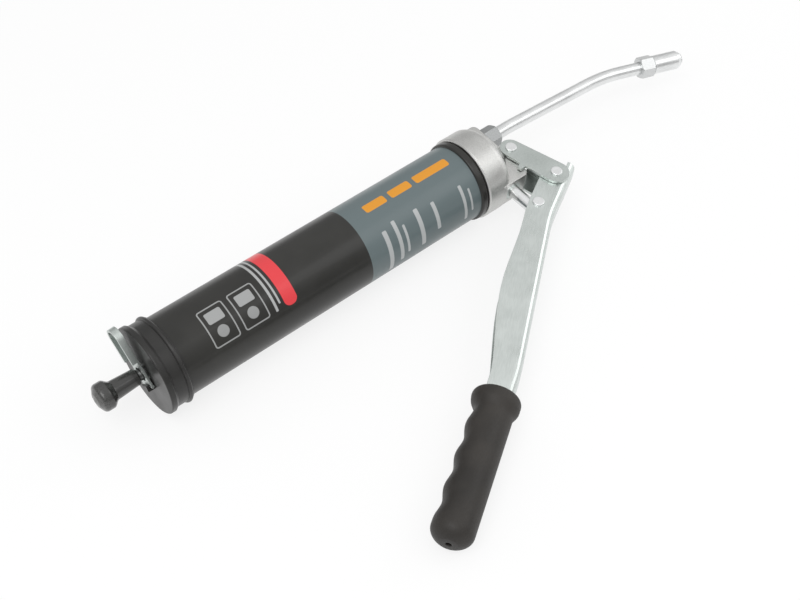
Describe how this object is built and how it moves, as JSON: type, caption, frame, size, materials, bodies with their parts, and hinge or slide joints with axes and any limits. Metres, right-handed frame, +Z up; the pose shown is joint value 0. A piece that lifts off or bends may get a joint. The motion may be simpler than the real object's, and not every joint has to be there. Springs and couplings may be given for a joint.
{
  "type": "lever grease gun",
  "caption": "Lever grease gun with a painted barrel, cast pump head, channel lever with rubber grip, bent outlet tube and nipple coupler; the lever drives the plunger.",
  "frame": {"origin": "under the middle of the part's box, on the floor that it lies on", "axes": "+X along the barrel towards the head and outlet, -Y towards the lever, +Z up"},
  "size_m": [0.5298, 0.2477, 0.063],
  "materials": {
    "black_paint": "gloss",
    "cast_metal": "satin",
    "zinc_plate": "satin",
    "bright_steel": "polished",
    "grip_rubber": "matte",
    "black_plastic": "satin",
    "spring_steel": "satin",
    "seal_rubber": "matte",
    "brass": "satin"
  },
  "bodies": {
    "gun_body": {"barrel_tube": "black_paint", "head_casting": "cast_metal", "head_gasket": "seal_rubber", "plunger_packing": "seal_rubber", "packing_ring": "spring_steel", "extension_tube": "bright_steel", "extension_nut": "bright_steel", "coupler_body": "bright_steel", "coupler_sleeve": "bright_steel", "coupler_jaws": "bright_steel", "coupler_seal": "seal_rubber", "coupler_spring": "spring_steel", "rear_cap": "black_paint", "rod_bushing": "brass", "follower_spring": "spring_steel", "check_spring": "spring_steel"},
    "plunger": {"plunger": "bright_steel"},
    "lever": {"lever_channel": "zinc_plate", "grip_sleeve": "grip_rubber", "plunger_pin": "zinc_plate"},
    "link": {"link_yoke": "zinc_plate", "head_pin": "zinc_plate", "lever_pin": "zinc_plate"},
    "rod": {"follower_rod": "spring_steel", "rod_knob": "black_plastic", "rod_nut": "spring_steel", "follower_plate": "spring_steel", "follower_cup": "seal_rubber"},
    "catch": {"catch_plate": "zinc_plate"},
    "ball": {"check_ball": "bright_steel"}
  },
  "joints": [
    {"name": "lever_swing", "type": "hinge", "parent": "plunger", "child": "lever", "pos_m": [0.0628, 0.03759, 0.02672], "axis": [0, -0.0869, 0.9962], "range_deg": [-26, 30]},
    {"name": "plunger_slide", "type": "slide", "parent": "gun_body", "child": "plunger", "axis": [0, 0.9962, 0.0869], "range_m": [-0.01689, 0.01469]},
    {"name": "link_swing", "type": "hinge", "parent": "gun_body", "child": "link", "pos_m": [0.0813, 0.0859, 0.03094], "axis": [0, -0.0869, 0.9962], "range_deg": [-10.7, 9.34]},
    {"name": "rod_pull", "type": "slide", "parent": "gun_body", "child": "rod", "axis": [-1, 0, 0], "range_m": [0, 0.19], "deforming": ["follower_spring"]},
    {"name": "catch_press", "type": "hinge", "parent": "gun_body", "child": "catch", "pos_m": [-0.2296, 0.08722, 0.02413], "axis": [0, 0.819, -0.5738], "range_deg": [0, 3.5], "stiffness_Nm_per_rad": 0.2},
    {"name": "ball_lift", "type": "slide", "parent": "gun_body", "child": "ball", "axis": [1, 0, 0], "range_m": [0, 0.0015], "stiffness_N_per_m": 200, "deforming": ["check_spring"]}
  ],
  "couplings": [
    {"joint": "plunger_slide", "follows": "lever_swing", "m_per_rad": -0.0315},
    {"joint": "link_swing", "follows": "lever_swing", "ratio": -0.34}
  ]
}
